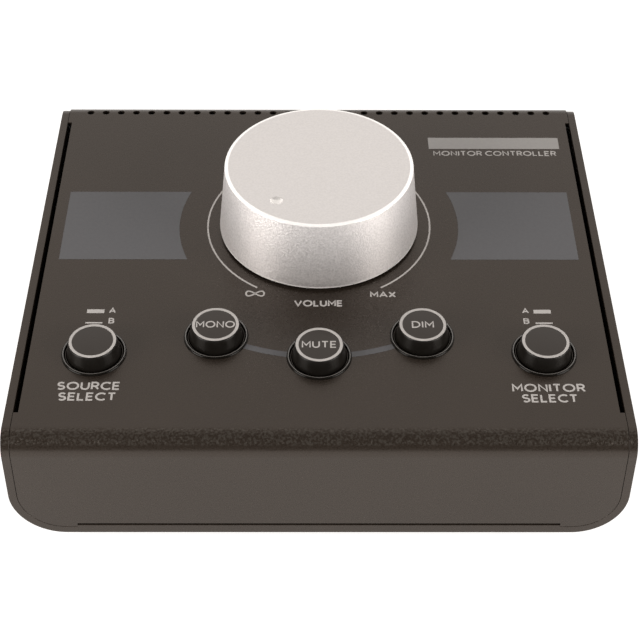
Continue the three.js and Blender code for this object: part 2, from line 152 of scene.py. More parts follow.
def link(name, mesh):
    piece = bpy.data.objects.new(name, mesh)
    bpy.context.scene.collection.objects.link(piece)
    return piece


def solid(name, mesh):
    """A linked object from a closed bmesh, its faces turned outward."""
    bmesh.ops.recalc_face_normals(mesh, faces=mesh.faces)
    data = bpy.data.meshes.new(name)
    mesh.to_mesh(data)
    mesh.free()
    return link(name, data)


def prism(name, outline, low, high, lay=lambda a, b, c: (a, b, c)):
    """An outline drawn in (a, b), carried from c = low to c = high. lay places a point."""
    mesh = bmesh.new()
    lower = [mesh.verts.new(lay(a, b, low)) for a, b in outline]
    upper = [mesh.verts.new(lay(a, b, high)) for a, b in outline]
    mesh.faces.new(lower)
    mesh.faces.new(upper)
    count = len(outline)
    for i in range(count):
        j = (i + 1) % count
        mesh.faces.new((lower[i], lower[j], upper[j], upper[i]))
    return solid(name, mesh)


def along_x(name, outline, half):
    """An outline drawn in (y, z), carried from x = -half to x = half."""
    return prism(name, outline, -half, half, lambda a, b, c: (c, a, b))


def along_y(name, outline, low, high):
    """An outline drawn in (x, z), carried from y = low to y = high."""
    return prism(name, outline, low, high, lambda a, b, c: (a, c, b))


def block(name, low, high):
    """A box given by its lowest and highest corners."""
    outline = [(low[0], low[1]), (high[0], low[1]), (high[0], high[1]), (low[0], high[1])]
    return prism(name, outline, low[2], high[2])


def disc_outline(x, y, radius, steps):
    return arc((x, y), radius, 0, 360 - 360 / steps, steps - 1)


def lathe(name, profile, segments, closed=False):
    """A solid of revolution about Z from (radius, height) points, which start and end on the axis
    or, if closed, close on themselves."""
    mesh = bmesh.new()
    rings = []
    for radius, height in profile:
        if radius < ON_AXIS:
            rings.append([mesh.verts.new((0, 0, height))])
        else:
            ring = disc_outline(0, 0, radius, segments)
            rings.append([mesh.verts.new((x, y, height)) for x, y in ring])
    pairs = list(zip(rings, rings[1:]))
    if closed:
        pairs.append((rings[-1], rings[0]))
    for lower, upper in pairs:
        if len(lower) == 1 and len(upper) == 1:
            continue
        if len(lower) == 1 or len(upper) == 1:
            rim = upper if len(lower) == 1 else lower
            tip = lower[0] if len(lower) == 1 else upper[0]
            for i in range(segments):
                mesh.faces.new((rim[i], rim[(i + 1) % segments], tip))
            continue
        for i in range(segments):
            j = (i + 1) % segments
            mesh.faces.new((lower[i], lower[j], upper[j], upper[i]))
    return solid(name, mesh)


def baked(piece):
    """Replaces a piece's mesh by what its modifiers make of it."""
    bpy.context.view_layer.update()
    graph = bpy.context.evaluated_depsgraph_get()
    mesh = bpy.data.meshes.new_from_object(piece.evaluated_get(graph))
    piece.modifiers.clear()
    piece.data = mesh
    return piece


def boolean(piece, operation, tools):
    """Cuts, joins or intersects a piece with every tool at once, and removes the tools."""
    group = bpy.data.collections.new("tools")
    for tool in tools:
        group.objects.link(tool)
    modifier = piece.modifiers.new("cut", "BOOLEAN")
    modifier.operation = operation
    modifier.operand_type = "COLLECTION"
    modifier.collection = group
    modifier.solver = "EXACT"
    baked(piece)
    for tool in tools:
        bpy.data.objects.remove(tool)
    bpy.data.collections.remove(group)
    return piece


def soften(piece, width, segments=3, angle=35):
    """Rounds a piece's sharp edges and keeps its flats flat to the light."""
    for polygon in piece.data.polygons:
        polygon.use_smooth = True
    edge = piece.modifiers.new("edge", "BEVEL")
    edge.width = width
    edge.segments = segments
    edge.limit_method = "ANGLE"
    edge.angle_limit = math.radians(angle)
    edge.use_clamp_overlap = True
    normals = piece.modifiers.new("normals", "WEIGHTED_NORMAL")
    normals.keep_sharp = False
    normals.weight = 100
    return baked(piece)


def smooth(piece, angle=35):
    """Smooth shading that stays sharp across edges steeper than angle."""
    piece.data.shade_smooth()
    piece.data.set_sharp_from_angle(angle=math.radians(angle))
    return piece


def joined(name, pieces):
    """One object from several, with their places applied."""
    mesh = bmesh.new()
    for piece in pieces:
        piece.data.transform(piece.matrix_world)
        mesh.from_mesh(piece.data)
    data = bpy.data.meshes.new(name)
    mesh.to_mesh(data)
    mesh.free()
    for material in pieces[0].data.materials:
        data.materials.append(material)
    for piece in pieces:
        bpy.data.objects.remove(piece)
    return link(name, data)


def place(piece, matrix):
    piece.matrix_world = matrix
    bpy.context.view_layer.update()
    return piece


def finish_piece(piece, body, material, replaced=()):
    """Gives a piece its material and its body, and hides the CAD nodes that it stands for."""
    piece.data.materials.clear()
    for each in material if isinstance(material, (list, tuple)) else [material]:
        piece.data.materials.append(each)
    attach(piece, body)
    if replaced:
        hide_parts(*replaced)
    return piece


# ---------------------------------------------------------------- material helpers


class Shader:
    """A small builder for a node material round one Principled BSDF."""

    def __init__(self, name, color, roughness, metallic=0.0):
        self.material = bpy.data.materials.new(name)
        self.material.use_nodes = True
        self.nodes = self.material.node_tree.nodes
        self.links = self.material.node_tree.links
        self.bsdf = self.nodes["Principled BSDF"]
        self.bsdf.inputs["Base Color"].default_value = (*color, 1)
        self.bsdf.inputs["Roughness"].default_value = roughness
        self.bsdf.inputs["Metallic"].default_value = metallic
        self.color = color
        self.place = self.nodes.new("ShaderNodeTexCoord")
        self.last_normal = None

    def noise(self, grain, detail=2.0, roughness=0.5, stretch=None):
        """Noise with a grain of about that many millimetres."""
        node = self.nodes.new("ShaderNodeTexNoise")
        node.inputs["Scale"].default_value = 1 / (grain * MM)
        node.inputs["Detail"].default_value = detail
        node.inputs["Roughness"].default_value = roughness
        source = self.place.outputs["Object"]
        if stretch:
            mapping = self.nodes.new("ShaderNodeMapping")
            mapping.inputs["Scale"].default_value = stretch
            self.links.new(source, mapping.inputs["Vector"])
            source = mapping.outputs["Vector"]
        self.links.new(source, node.inputs["Vector"])
        return node.outputs["Fac"]

    def ranged(self, value, low, high, start=0.3, end=0.7):
        """Carries a value from start..end over to low..high."""
        node = self.nodes.new("ShaderNodeMapRange")
        node.inputs["From Min"].default_value = start
        node.inputs["From Max"].default_value = end
        node.inputs["To Min"].default_value = low
        node.inputs["To Max"].default_value = high
        self.links.new(value, node.inputs["Value"])
        return node.outputs["Result"]

    def tint(self, value, spread):
        """Lets the colour drift by that share of itself with a value."""
        mix = self.nodes.new("ShaderNodeMix")
        mix.data_type = "RGBA"
        mix.inputs["A"].default_value = (*[c * (1 - spread) for c in self.color], 1)
        mix.inputs["B"].default_value = (*[min(1, c * (1 + spread)) for c in self.color], 1)
        self.links.new(self.ranged(value, 0, 1), mix.inputs["Factor"])
        self.links.new(mix.outputs["Result"], self.bsdf.inputs["Base Color"])

    def fleck(self, value, where, color):
        """Carries the colour over to another one by a value, where a mask is 1."""
        amount = self.nodes.new("ShaderNodeMath")
        amount.operation = "MULTIPLY"
        self.links.new(value, amount.inputs[0])
        self.links.new(where, amount.inputs[1])
        mix = self.nodes.new("ShaderNodeMix")
        mix.data_type = "RGBA"
        self.links.new(self.bsdf.inputs["Base Color"].links[0].from_socket, mix.inputs["A"])
        mix.inputs["B"].default_value = (*color, 1)
        self.links.new(amount.outputs["Value"], mix.inputs["Factor"])
        self.links.new(mix.outputs["Result"], self.bsdf.inputs["Base Color"])

    def rough(self, value, low, high):
        self.links.new(self.ranged(value, low, high), self.bsdf.inputs["Roughness"])

    def facing(self, direction, start, end):
        """1 where the surface faces within `end` degrees of a direction, 0 beyond `start`."""
        geometry = self.nodes.new("ShaderNodeNewGeometry")
        node = self.nodes.new("ShaderNodeVectorMath")
        node.operation = "DOT_PRODUCT"
        node.inputs[1].default_value = direction
        self.links.new(geometry.outputs["Normal"], node.inputs[0])
        low, high = math.cos(math.radians(start)), math.cos(math.radians(end))
        return self.ranged(node.outputs["Value"], 0, 1, low, high)

    def bump(self, value, strength, depth, where=None):
        """Adds a bump of that depth in millimetres on top of the ones before it."""
        node = self.nodes.new("ShaderNodeBump")
        node.inputs["Strength"].default_value = strength
        if where:
            self.links.new(where, node.inputs["Strength"])
        node.inputs["Distance"].default_value = depth * MM
        self.links.new(value, node.inputs["Height"])
        if self.last_normal:
            self.links.new(self.last_normal, node.inputs["Normal"])
        self.last_normal = node.outputs["Normal"]
        self.links.new(self.last_normal, self.bsdf.inputs["Normal"])

    def set(self, **values):
        for key, value in values.items():
            self.bsdf.inputs[key.replace("_", " ")].default_value = value


# The coat's coarse part, whose lighter flecks are painted glints, as degrees of tilt towards
# the front: its middle, full within the first reach and gone beyond the second.
BEND_TILT = 32
BEND_FULL = 19
BEND_GONE = 25


def powder_coat(name, color, bend_glint_color, shine=0.5):
    """Fine-textured dark powder coat, coarser where it is stretched over the front bend, with
    lighter flecks there that are painted glints.
    """
    shader = Shader(name, color, 0.3)
    shader.tint(shader.noise(22, 3), 0.05)
    shader.rough(shader.noise(0.7, 3), 0.24, 0.34)
    shader.bump(shader.noise(1.3, 2), 0.35, 0.06)
    shader.bump(shader.noise(0.45, 3, 0.6), 0.35, 0.05)
    tilt = math.radians(BEND_TILT)
    on_bend = shader.facing((0, -math.sin(tilt), math.cos(tilt)), BEND_GONE, BEND_FULL)
    shader.bump(shader.noise(0.8, 2), 1.0, 0.2, on_bend)
    # Lighter flecks on the bend only: painted glints.
    shader.fleck(shader.ranged(shader.noise(0.75, 1), 0, 1, 0.47, 0.60), on_bend, bend_glint_color)
    shader.set(Specular_Tint=(1.0, 0.89, 0.81, 1), Specular_IOR_Level=shine)
    return shader.material


def satin_metal(name, color, low, high, depth, metallic=1.0, speckle=0.04, painted_glow=0.0):
    """Bead-blasted anodised aluminium. Any light that it gives off itself is painted light, since
    it is no lamp.
    """
    shader = Shader(name, color, 0.4, metallic)
    shader.tint(shader.noise(0.65, 2), speckle)
    shader.rough(shader.noise(0.6, 2), low, high)
    shader.bump(shader.noise(0.55, 2, 0.6), 0.8, depth)
    shader.set(Emission_Color=(1, 0.98, 0.96, 1), Emission_Strength=painted_glow)
    return shader.material


def moulded(name, color, roughness, grain=0.6, depth=0.01, shine=0.5):
    """Moulded plastic with a faint texture and a little unevenness in its gloss."""
    shader = Shader(name, color, roughness)
    shader.tint(shader.noise(6, 2), 0.06)
    shader.rough(shader.noise(3, 3), roughness * 0.85, roughness * 1.2)
    shader.bump(shader.noise(grain, 2), 0.3, depth)
    shader.set(Specular_IOR_Level=shine)
    return shader.material


def printed(name, color):
    """Screen-printed ink: flat, slightly uneven in thickness."""
    shader = Shader(name, color, 0.55)
    shader.tint(shader.noise(1.2, 3), 0.04)
    shader.rough(shader.noise(0.8, 2), 0.5, 0.62)
    shader.bump(shader.noise(0.42, 3, 0.6), 0.25, 0.02)
    return shader.material


def plated(name, color, roughness):
    """Nickel or zinc plate with fine turning marks."""
    shader = Shader(name, color, roughness, 1.0)
    shader.tint(shader.noise(4, 3), 0.08)
    shader.rough(shader.noise(0.8, 3, stretch=(1, 1, 8)), roughness * 0.8, roughness * 1.4)
    shader.bump(shader.noise(0.5, 2, stretch=(1, 1, 6)), 0.15, 0.01)
    return shader.material


def solder_mask(name):
    """A green circuit board with faint copper tracks under the mask."""
    shader = Shader(name, (0.02, 0.09, 0.04), 0.4)
    shader.tint(shader.noise(2.5, 1, stretch=(1, 6, 1)), 0.35)
    shader.rough(shader.noise(3, 2), 0.3, 0.45)
    shader.bump(shader.noise(2.5, 1, stretch=(1, 6, 1)), 0.2, 0.02)
    return shader.material


def rubber(name):
    shader = Shader(name, (0.012, 0.012, 0.012), 0.85)
    shader.tint(shader.noise(3, 3), 0.3)
    shader.rough(shader.noise(0.8, 2), 0.75, 0.95)
    shader.bump(shader.noise(0.5, 3), 0.4, 0.03)
    return shader.material


# Each coat's third colour is that of its painted glints on the front bend.
COAT = powder_coat("powder_coat", (0.0205, 0.0155, 0.0120), (0.0380, 0.0330, 0.0280))
# A darker, duller copy of the coat for the wrap's rounded outer rim: painted shade.
COAT_RIM_SHADE = powder_coat(
    "powder_coat_rim_shade", (0.0080, 0.0065, 0.0055), (0.0160, 0.0130, 0.0110), 0.12)
SATIN_SIDE = satin_metal("satin_side", (0.73, 0.708, 0.707), 0.44, 0.54, 0.13, 0.85, speckle=0.12)
SATIN_TOP = satin_metal("satin_top", (0.745, 0.728, 0.727), 0.38, 0.46, 0.002)
# The chamfer's finish is polished and also gives off light of its own, which is a painted
# highlight.
CHAMFER_PAINTED_HIGHLIGHT = satin_metal("chamfer_painted_highlight", (0.98, 0.97, 0.96), 0.16, 0.24, 0.002, 0.4, painted_glow=0.16)
POLISHED = satin_metal("polished", (0.97, 0.95, 0.94), 0.12, 0.18, 0.002, 0.45)
BLACK_GLOSS = moulded("black_gloss", (0.006, 0.005, 0.004), 0.2, shine=0.12)
CAP_SIDE = moulded("cap_side", (0.007, 0.006, 0.005), 0.3, shine=0.18)
# A pale glossy band for the crest of a bezel's lip: a painted highlight.
LIP_PAINTED_HIGHLIGHT = moulded("lip_painted_highlight", (0.15, 0.143, 0.136), 0.22, shine=1.0)
CAP_FACE = moulded("cap_face", (0.0190, 0.0130, 0.0090), 0.32, grain=0.5, depth=0.01)
LABEL_GREY = printed("label_grey", (0.0955, 0.0965, 0.1045))
INK = printed("pale_ink", (0.47, 0.453, 0.443))
BAR_INK = printed("bar_ink", (0.345, 0.335, 0.33))
NICKEL = plated("nickel", (0.62, 0.60, 0.57), 0.25)
SCREW_BLACK = plated("screw_black", (0.10, 0.10, 0.105), 0.35)
BOARD = solder_mask("solder_mask")
JACK_PLASTIC = moulded("jack_plastic", (0.020, 0.020, 0.021), 0.38, grain=0.5, depth=0.02)
SWITCH_PLASTIC = moulded("switch_plastic", (0.30, 0.31, 0.33), 0.45)
RIBBON = moulded("ribbon_grey", (0.35, 0.36, 0.38), 0.6)
RUBBER = rubber("foot_rubber")

# ---------------------------------------------------------------- case


def side_outline(inset, bottom, rear_bend=COVER_REAR_BEND, rear_inset=None, steps=16):
    """The case's side view in (y, z): upright front, bend, sloping top, bend, upright rear."""
    rear_inset = inset if rear_inset is None else rear_inset
    front = front_y + inset
    rear = rear_y - rear_inset
    front_radius = FRONT_BEND - inset
    rear_radius = rear_bend - rear_inset

    def centre(y, radius):
        top = panel_front_z + (y - front_y) * math.tan(slope)
        return y, top - (inset + radius) / math.cos(slope)

    lean = 90 + math.degrees(slope)
    outline = [(front, bottom), (rear, bottom)]
    outline += arc(centre(rear - rear_radius, rear_radius), rear_radius, 0, lean, steps)
    outline += arc(centre(front + front_radius, front_radius), front_radius, lean, 180, steps)
    return outline


def front_outline(half, bottom, corner, steps=20):
    """The case's front view in (x, z), open above, with rounded lower corners."""
    top = rear_top + OPEN_TOP
    outline = [(half, top), (-half, top)]
    outline += arc((-half + corner, bottom + corner), corner, 180, 270, steps)
    outline += arc((half - corner, bottom + corner), corner, 270, 360, steps)
    return outline


def upright_rods(name, places, radius, low, high, steps=32):
    return [prism(name, disc_outline(p.x, p.y, radius, steps), low, high) for p in places]


def panel_hole(u, v, radius, steps=64):
    tool = prism("hole", disc_outline(u, v, radius, steps), -CUT_HALF, CUT_HALF)
    tool.data.transform(PANEL)
    return tool


WRAP_COATS = [COAT, COAT_RIM_SHADE]


def on_outer_rim(point, slack=0.02 * MM):
    """Whether a point lies on the outer outline of the wrap."""
    x = abs(point.x)
    across, above = x - (half_width - CORNER), floor_z + CORNER - point.z
    if across > 0 and above > 0:
        return abs(math.hypot(across, above) - CORNER) < slack
    if above > 0:
        at_end = point.y < front_y + slack or point.y > rear_y - REAR_INSET - slack
        return point.z < floor_z + slack and at_end
    return x > half_width - slack


def round_outer_rim(piece):
    """Breaks the long edges between the wrap's skin and its rim, as far as the shortest edges
    there let a bevel of RIM_ROUND go. The broken edges take the darker coat: painted shade."""
    mesh = bmesh.new()
    mesh.from_mesh(piece.data)
    weight = mesh.edges.layers.float.new("bevel_weight_edge")
    for edge in mesh.edges:
        sharp = len(edge.link_faces) == 2 and edge.calc_face_angle(0) > RIM_ANGLE
        if sharp and all(on_outer_rim(vertex.co) for vertex in edge.verts):
            edge[weight] = 1
    mesh.to_mesh(piece.data)
    mesh.free()
    rim = piece.modifiers.new("rim", "BEVEL")
    rim.width = RIM_ROUND
    rim.segments = 4
    rim.limit_method = "WEIGHT"
    # The rim's bevel faces take the darker coat, which paints shade along the rim.
    rim.material = WRAP_COATS.index(COAT_RIM_SHADE)
    return baked(piece)


def outer_wrap():
    rear = rear_y - REAR_INSET
    piece = along_y("case_wrap", front_outline(half_width, floor_z, CORNER), front_y, rear)
    inside = front_outline(inner_half, inner_floor, CORNER - WALL)
    boolean(piece, "DIFFERENCE", [along_y("hollow", inside, front_y - WALL, rear_y + WALL)])
    side = side_outline(0, 0, WRAP_REAR_BEND, REAR_INSET)
    boolean(piece, "INTERSECT", [along_x("side", side, half_width + WALL)])
    lip = block(
        "lip", (-LIP_HALF, front_y, floor_z), (LIP_HALF, front_y + LIP_DEPTH, floor_z + LIP_HEIGHT))
    bosses = upright_rods("boss", screw_places, BOSS_RADIUS, floor_z + MM, flange_z - SEAM)
    boolean(piece, "UNION", [lip] + bosses)
    holes = upright_rods("hole", screw_places, SCREW_HOLE, 0, flange_z)
    seats = upright_rods("seat", screw_places, SCREW_SEAT, 0, floor_z + SEAT_DEPTH)
    boolean(piece, "DIFFERENCE", holes + seats)
    piece.data.materials.clear()
    for material in WRAP_COATS:
        piece.data.materials.append(material)
    round_outer_rim(piece)
    soften(piece, width=0.15 * MM, segments=2, angle=60)
    slots = [polygon.material_index for polygon in piece.data.polygons]
    finish_piece(piece, "case", WRAP_COATS, ["outer_wrap"])
    piece.data.polygons.foreach_set("material_index", slots)
    return piece


def top_cover():
    piece = along_x("case_cover", side_outline(0, flange_z), cover_half)
    boolean(piece, "DIFFERENCE", [along_x("inside", side_outline(SHEET, 0), half_width)])
    corner_low = (-cover_half, front_y, inner_floor)
    corner_high = (cover_half, front_y + SHEET, flange_z + 2 * SHEET)
    flange_low = (-LIP_HALF, front_y, flange_z)
    flange_high = (LIP_HALF, front_y + FLANGE, flange_z + SHEET)
    flange = block("flange", flange_low, flange_high)
    boolean(piece, "UNION", [block("corners", corner_low, corner_high), flange])
    skirt_end = rear_top - REAR_SKIRT
    tools = [
        block("under", (-LIP_HALF, front_y - MM, 0), (LIP_HALF, front_y + 2 * SHEET, flange_z)),
        block("rear", (-half_width, rear_y - 2 * SHEET, 0), (half_width, rear_y + MM, skirt_end)),
    ]
    for side in (-1, 1):
        edges = sorted((side * (inner_half - SLOT_WIDTH), side * half_width))
        slot_low = (edges[0], SLOT_ENDS[0], -CUT_HALF)
        slot_high = (edges[1], SLOT_ENDS[1], CUT_HALF)
        slot = block("slot", slot_low, slot_high)
        slot.data.transform(PANEL)
        tools.append(slot)
    tools += [panel_hole(u, v, BEZEL_HOLE) for u, v in button_places.values()]
    tools.append(panel_hole(0, 0, BUSH_HOLE))
    boolean(piece, "DIFFERENCE", tools)
    outline = front_outline(cover_half, inner_floor + SEAM, CORNER - WALL - SEAM)
    boolean(piece, "INTERSECT", [along_y("bounds", outline, front_y - MM, rear_y + MM)])
    vents = []
    for i in range(VENT_COUNT):
        u = (i - (VENT_COUNT - 1) / 2) * VENT_PITCH
        vents.append(panel_hole(u, VENT_V, VENT_RADIUS, steps=24))
    boolean(piece, "DIFFERENCE", vents)
    soften(piece, width=0.22 * MM, segments=2)
    return finish_piece(piece, "case", COAT, ["top_cover"])


# ---------------------------------------------------------------- knob

# Millimetres in the panel frame: heights run from the panel, depths down from the knob's top.
KNOB_TOP = 25.8
KNOB_FOOT = 1.0
KNOB_PLATE = 2.4
KNOB_FLAT_RADIUS = 30.19
KNOB_LINE = (0.3, 0.75)
KNOB_SEGMENTS = 192
DIMPLE_RADIUS = 23.1
DIMPLE_ANGLE = math.radians(36.8)
DIMPLE_BALL = 3.2
DIMPLE_DEPTH = 0.8
DIMPLE_REACH = 2.3


def in_mm(points):
    return [(a * MM, b * MM) for a, b in points]


def dimple_ball(u, v):
    """The ball that leaves the pointer dimple where it dips into the knob's top."""
    half = arc((0, DIMPLE_BALL - DIMPLE_DEPTH), DIMPLE_BALL, -90, 90, 32)
    ball = lathe("ball", in_mm(reversed(half)), 48)
    ball.data.transform(Matrix.Translation((u * MM, v * MM, KNOB_TOP * MM)))
    return ball


def knob_shell():
    """A turned cup with a polished chamfer round its top that gives off a painted highlight, and a
    polished dimple and foot line.
    """
    under = KNOB_TOP - KNOB_PLATE
    line_low, line_high = (KNOB_FOOT + height for height in KNOB_LINE)
    inside = [(0, under), (28.3, under), (31.7, KNOB_FOOT + 0.3), (32.0, KNOB_FOOT)]
    foot_edge = [(33.45, KNOB_FOOT), (33.7, KNOB_FOOT + 0.1), (33.8, line_low), (33.76, line_high)]
    shoulder = [(31.34, KNOB_TOP - 0.48), (31.31, KNOB_TOP - 0.38), (31.24, KNOB_TOP - 0.30)]
    flat = [(KNOB_FLAT_RADIUS, KNOB_TOP), (0, KNOB_TOP)]
    cup = lathe("volume_knob_cup", in_mm(inside + foot_edge + shoulder + flat), KNOB_SEGMENTS)
    dimple_u = -DIMPLE_RADIUS * math.sin(DIMPLE_ANGLE)
    dimple_v = -DIMPLE_RADIUS * math.cos(DIMPLE_ANGLE)
    boolean(cup, "DIFFERENCE", [dimple_ball(dimple_u, dimple_v)])
    cup.data.materials.clear()
    smooth(cup, 12)
    place(cup, PANEL)
    finishes = [SATIN_SIDE, CHAMFER_PAINTED_HIGHLIGHT, SATIN_TOP, POLISHED]
    finish_piece(cup, "volume_knob", finishes, ["knob_shell"])
    for polygon in cup.data.polygons:
        middle = polygon.center / MM
        radius = math.hypot(middle.x, middle.y)
        depth = KNOB_TOP - middle.z
        on_line = radius > 33.6 and line_low < middle.z < line_high
        on_chamfer = radius > KNOB_FLAT_RADIUS and 0.02 < depth < 0.40
        off_dimple = math.hypot(middle.x - dimple_u, middle.y - dimple_v)
        in_dimple = off_dimple < DIMPLE_REACH and 0.01 < depth < 1.5 * DIMPLE_DEPTH
        # The chamfer takes the finish that gives off a painted highlight.
        if on_chamfer:
            polygon.material_index = finishes.index(CHAMFER_PAINTED_HIGHLIGHT)
        elif in_dimple or on_line:
            polygon.material_index = finishes.index(POLISHED)
        elif radius < KNOB_FLAT_RADIUS and depth < 0.04:
            polygon.material_index = finishes.index(SATIN_TOP)
    return cup


# ---------------------------------------------------------------- buttons

# Millimetres: heights run from the panel.
CAP_TOP = 5.3
CAP_HOLLOW = 3.2
CAP_FOOT = -4.4
BEZEL_SUNK = -0.02
# Where the painted highlight band lies on a bezel's lip, in radius and height.
LIP_PAINTED_HIGHLIGHT_BAND = (9.45, 9.8)
LIP_PAINTED_HIGHLIGHT_HEIGHT = 0.5
TURNED_SEGMENTS = 96


def button_cap(name):
    """A flared cap, hollow below, with a face of its own finish."""
    inside = [(0, CAP_HOLLOW), (6.2, CAP_HOLLOW), (7.3, CAP_FOOT)]
    side = [(8.5, CAP_FOOT), (8.55, -0.2), (8.52, 0.5), (7.72, CAP_TOP - 0.5)]
    rim = [(7.66, CAP_TOP - 0.28), (7.55, CAP_TOP - 0.12), (7.4, CAP_TOP - 0.03)]
    face = [(7.2, CAP_TOP), (0, CAP_TOP)]
    cap = lathe(name + "_button", in_mm(inside + side + rim + face), TURNED_SEGMENTS)
    smooth(cap, 50)
    place(cap, PANEL @ Matrix.Translation((*button_places[name], 0)))
    finishes = [CAP_SIDE, CAP_FACE]
    finish_piece(cap, name + "_button", finishes, [name + "_cap"])
    for polygon in cap.data.polygons:
        if polygon.center.z > (CAP_TOP - 0.02) * MM:
            polygon.material_index = finishes.index(CAP_FACE)
    return cap


def ring_band(name, inner, outer, low, high, start=0, end=360, steps=TURNED_SEGMENTS):
    """A flat band about Z, all the way round or from one angle to another."""
    if end - start >= 360:
        section = [(inner, low), (outer, low), (outer, high), (inner, high)]
        return lathe(name, in_mm(section), steps, closed=True)
    outline = arc((0, 0), outer, start, end, steps) + arc((0, 0), inner, end, start, steps)
    return prism(name, in_mm(outline), low * MM, high * MM)


def button_bezel(name):
    """A glossy black ring with a rounded lip, standing on the panel round the cap, with a pale band
    along the lip's crest that is a painted highlight.
    """
    section = [(9.0, BEZEL_SUNK), (10.3, BEZEL_SUNK)] + arc((9.72, 0.06), 0.56, 0, 90, 8)
    section += [(9.55, 0.6), (9.45, 0.5), (9.02, 0.1)]
    bezel = lathe(name + "_lip", in_mm(section), TURNED_SEGMENTS, closed=True)
    smooth(bezel, 50)
    place(bezel, PANEL @ Matrix.Translation((*button_places[name], 0)))
    finishes = [BLACK_GLOSS, LIP_PAINTED_HIGHLIGHT]
    finish_piece(bezel, "case", finishes, [name + "_bezel"])
    # The crest faces take the pale band, which is a painted highlight.
    inner, outer = LIP_PAINTED_HIGHLIGHT_BAND
    for polygon in bezel.data.polygons:
        middle = polygon.center / MM
        if inner < math.hypot(middle.x, middle.y) < outer and middle.z > LIP_PAINTED_HIGHLIGHT_HEIGHT:
            polygon.material_index = finishes.index(LIP_PAINTED_HIGHLIGHT)
    return bezel


# ---------------------------------------------------------------- printing

INK_LOW = -0.02
INK_HIGH = 0.05


def bow(x, y, radius_x, radius_y, start, end, steps=10):
    """Points along part of an ellipse, in letter heights."""
    angles = [math.radians(start + (end - start) * i / steps) for i in range(steps + 1)]
    return [(x + radius_x * math.cos(a), y + radius_y * math.sin(a)) for a in angles]


# Each letter is its width and its strokes' middle lines, in letter heights.
LETTERS = {
    "A": (0.9, [[(0, 0), (0.45, 1), (0.9, 0)], [(0.15, 0.32), (0.75, 0.32)]]),
    "B": (0.6, [[(0, 0.54), (0, 1)] + bow(0.3, 0.77, 0.24, 0.23, 90, -90) + [(0, 0.54)],
                [(0, 0.54)] + bow(0.34, 0.27, 0.26, 0.27, 90, -90) + [(0, 0), (0, 0.54)]]),
    "C": (0.84, [bow(0.52, 0.5, 0.52, 0.5, 48, 312, 20)]),
    "D": (0.8, [[(0, 0), (0, 1)] + bow(0.3, 0.5, 0.5, 0.5, 90, -90, 16) + [(0, 0)]]),
    "E": (0.58, [[(0.58, 1), (0, 1), (0, 0), (0.58, 0)], [(0, 0.51), (0.52, 0.51)]]),
    "I": (0.0, [[(0, 0), (0, 1)]]),
    "L": (0.54, [[(0, 1), (0, 0), (0.54, 0)]]),
    "M": (0.86, [[(0, 0), (0, 1), (0.43, 0.36), (0.86, 1), (0.86, 0)]]),
    "N": (0.74, [[(0, 0), (0, 1), (0.74, 0), (0.74, 1)]]),
    "O": (1.04, [bow(0.52, 0.5, 0.52, 0.5, 0, 360, 32)]),
    "R": (0.62, [[(0, 0), (0, 1)] + bow(0.34, 0.73, 0.26, 0.27, 90, -90) + [(0, 0.46)],
                 [(0.34, 0.46), (0.64, 0)]]),
    "S": (0.62, [bow(0.31, 0.755, 0.29, 0.245, 35, 270, 14)
                 + bow(0.31, 0.255, 0.31, 0.255, 90, -145, 14)]),
    "T": (0.68, [[(0, 1), (0.68, 1)], [(0.34, 1), (0.34, 0)]]),
    "U": (0.72, [[(0, 1)] + bow(0.36, 0.36, 0.36, 0.36, 180, 360, 14) + [(0.72, 1)]]),
    "V": (0.86, [[(0, 1), (0.43, 0), (0.86, 1)]]),
    "X": (0.76, [[(0, 0), (0.76, 1)], [(0, 1), (0.76, 0)]]),
}
LETTER_GAP = 0.33
MITRE_LIMIT = 1.6


def ribbon(name, points, half, low, high):
    """A flat stroke of even width along a line of points, as a closed solid."""
    line = [Vector(p) for p in points]
    closed = (line[0] - line[-1]).length < half * 0.1
    if closed:
        line.pop()
    count = len(line)
    mesh = bmesh.new()
    rings = []
    for i, point in enumerate(line):
        before = line[i - 1] if closed or i > 0 else point
        after = line[(i + 1) % count] if closed or i < count - 1 else point
        along_a = (point - before).normalized() if before != point else (after - point).normalized()
        along_b = (after - point).normalized() if after != point else along_a
        side = Vector((-along_a.y - along_b.y, along_a.x + along_b.x)).normalized()
        spread = 1 / max(abs(side.dot(Vector((-along_a.y, along_a.x)))), 1 / MITRE_LIMIT)
        left = point + side * half * spread
        right = point - side * half * spread
        corners = [(*left, low), (*right, low), (*right, high), (*left, high)]
        rings.append([mesh.verts.new(corner) for corner in corners])
    pairs = list(zip(rings, rings[1:]))
    if closed:
        pairs.append((rings[-1], rings[0]))
    else:
        mesh.faces.new(rings[0])
        mesh.faces.new(rings[-1])
    for one, two in pairs:
        for k in range(4):
            m = (k + 1) % 4
            mesh.faces.new((one[k], one[m], two[m], two[k]))
    return solid(name, mesh)


def lettering(name, words, height, width, weight, body, where):
    """Words in plain single-stroke capitals, centred, with sizes in millimetres."""
    strokes = []
    x = 0.0
    for letter in words:
        if letter == " ":
            x += LETTER_GAP
            continue
        letter_width, lines = LETTERS[letter]
        strokes += [[(x + a, b) for a, b in line] for line in lines]
        x += letter_width + LETTER_GAP
    total = x - LETTER_GAP
    scale_x = (width - weight) / total
    scale_y = height - weight
    pieces = []
    for line in strokes:
        placed = [((a - total / 2) * scale_x * MM, (b - 0.5) * scale_y * MM) for a, b in line]
        pieces.append(ribbon(name, placed, weight / 2 * MM, INK_LOW * MM, INK_HIGH * MM))
    piece = pieces[0]
    if len(pieces) > 1:
        boolean(piece, "UNION", pieces[1:])
    piece.name = name
    place(piece, where)
    return finish_piece(piece, body, INK)


def print_flat(name, outline, material=INK):
    """A printed shape on the panel from its (u, v) outline in millimetres."""
    piece = prism(name, in_mm(outline), INK_LOW * MM, INK_HIGH * MM)
    place(piece, PANEL)
    return finish_piece(piece, "case", material)


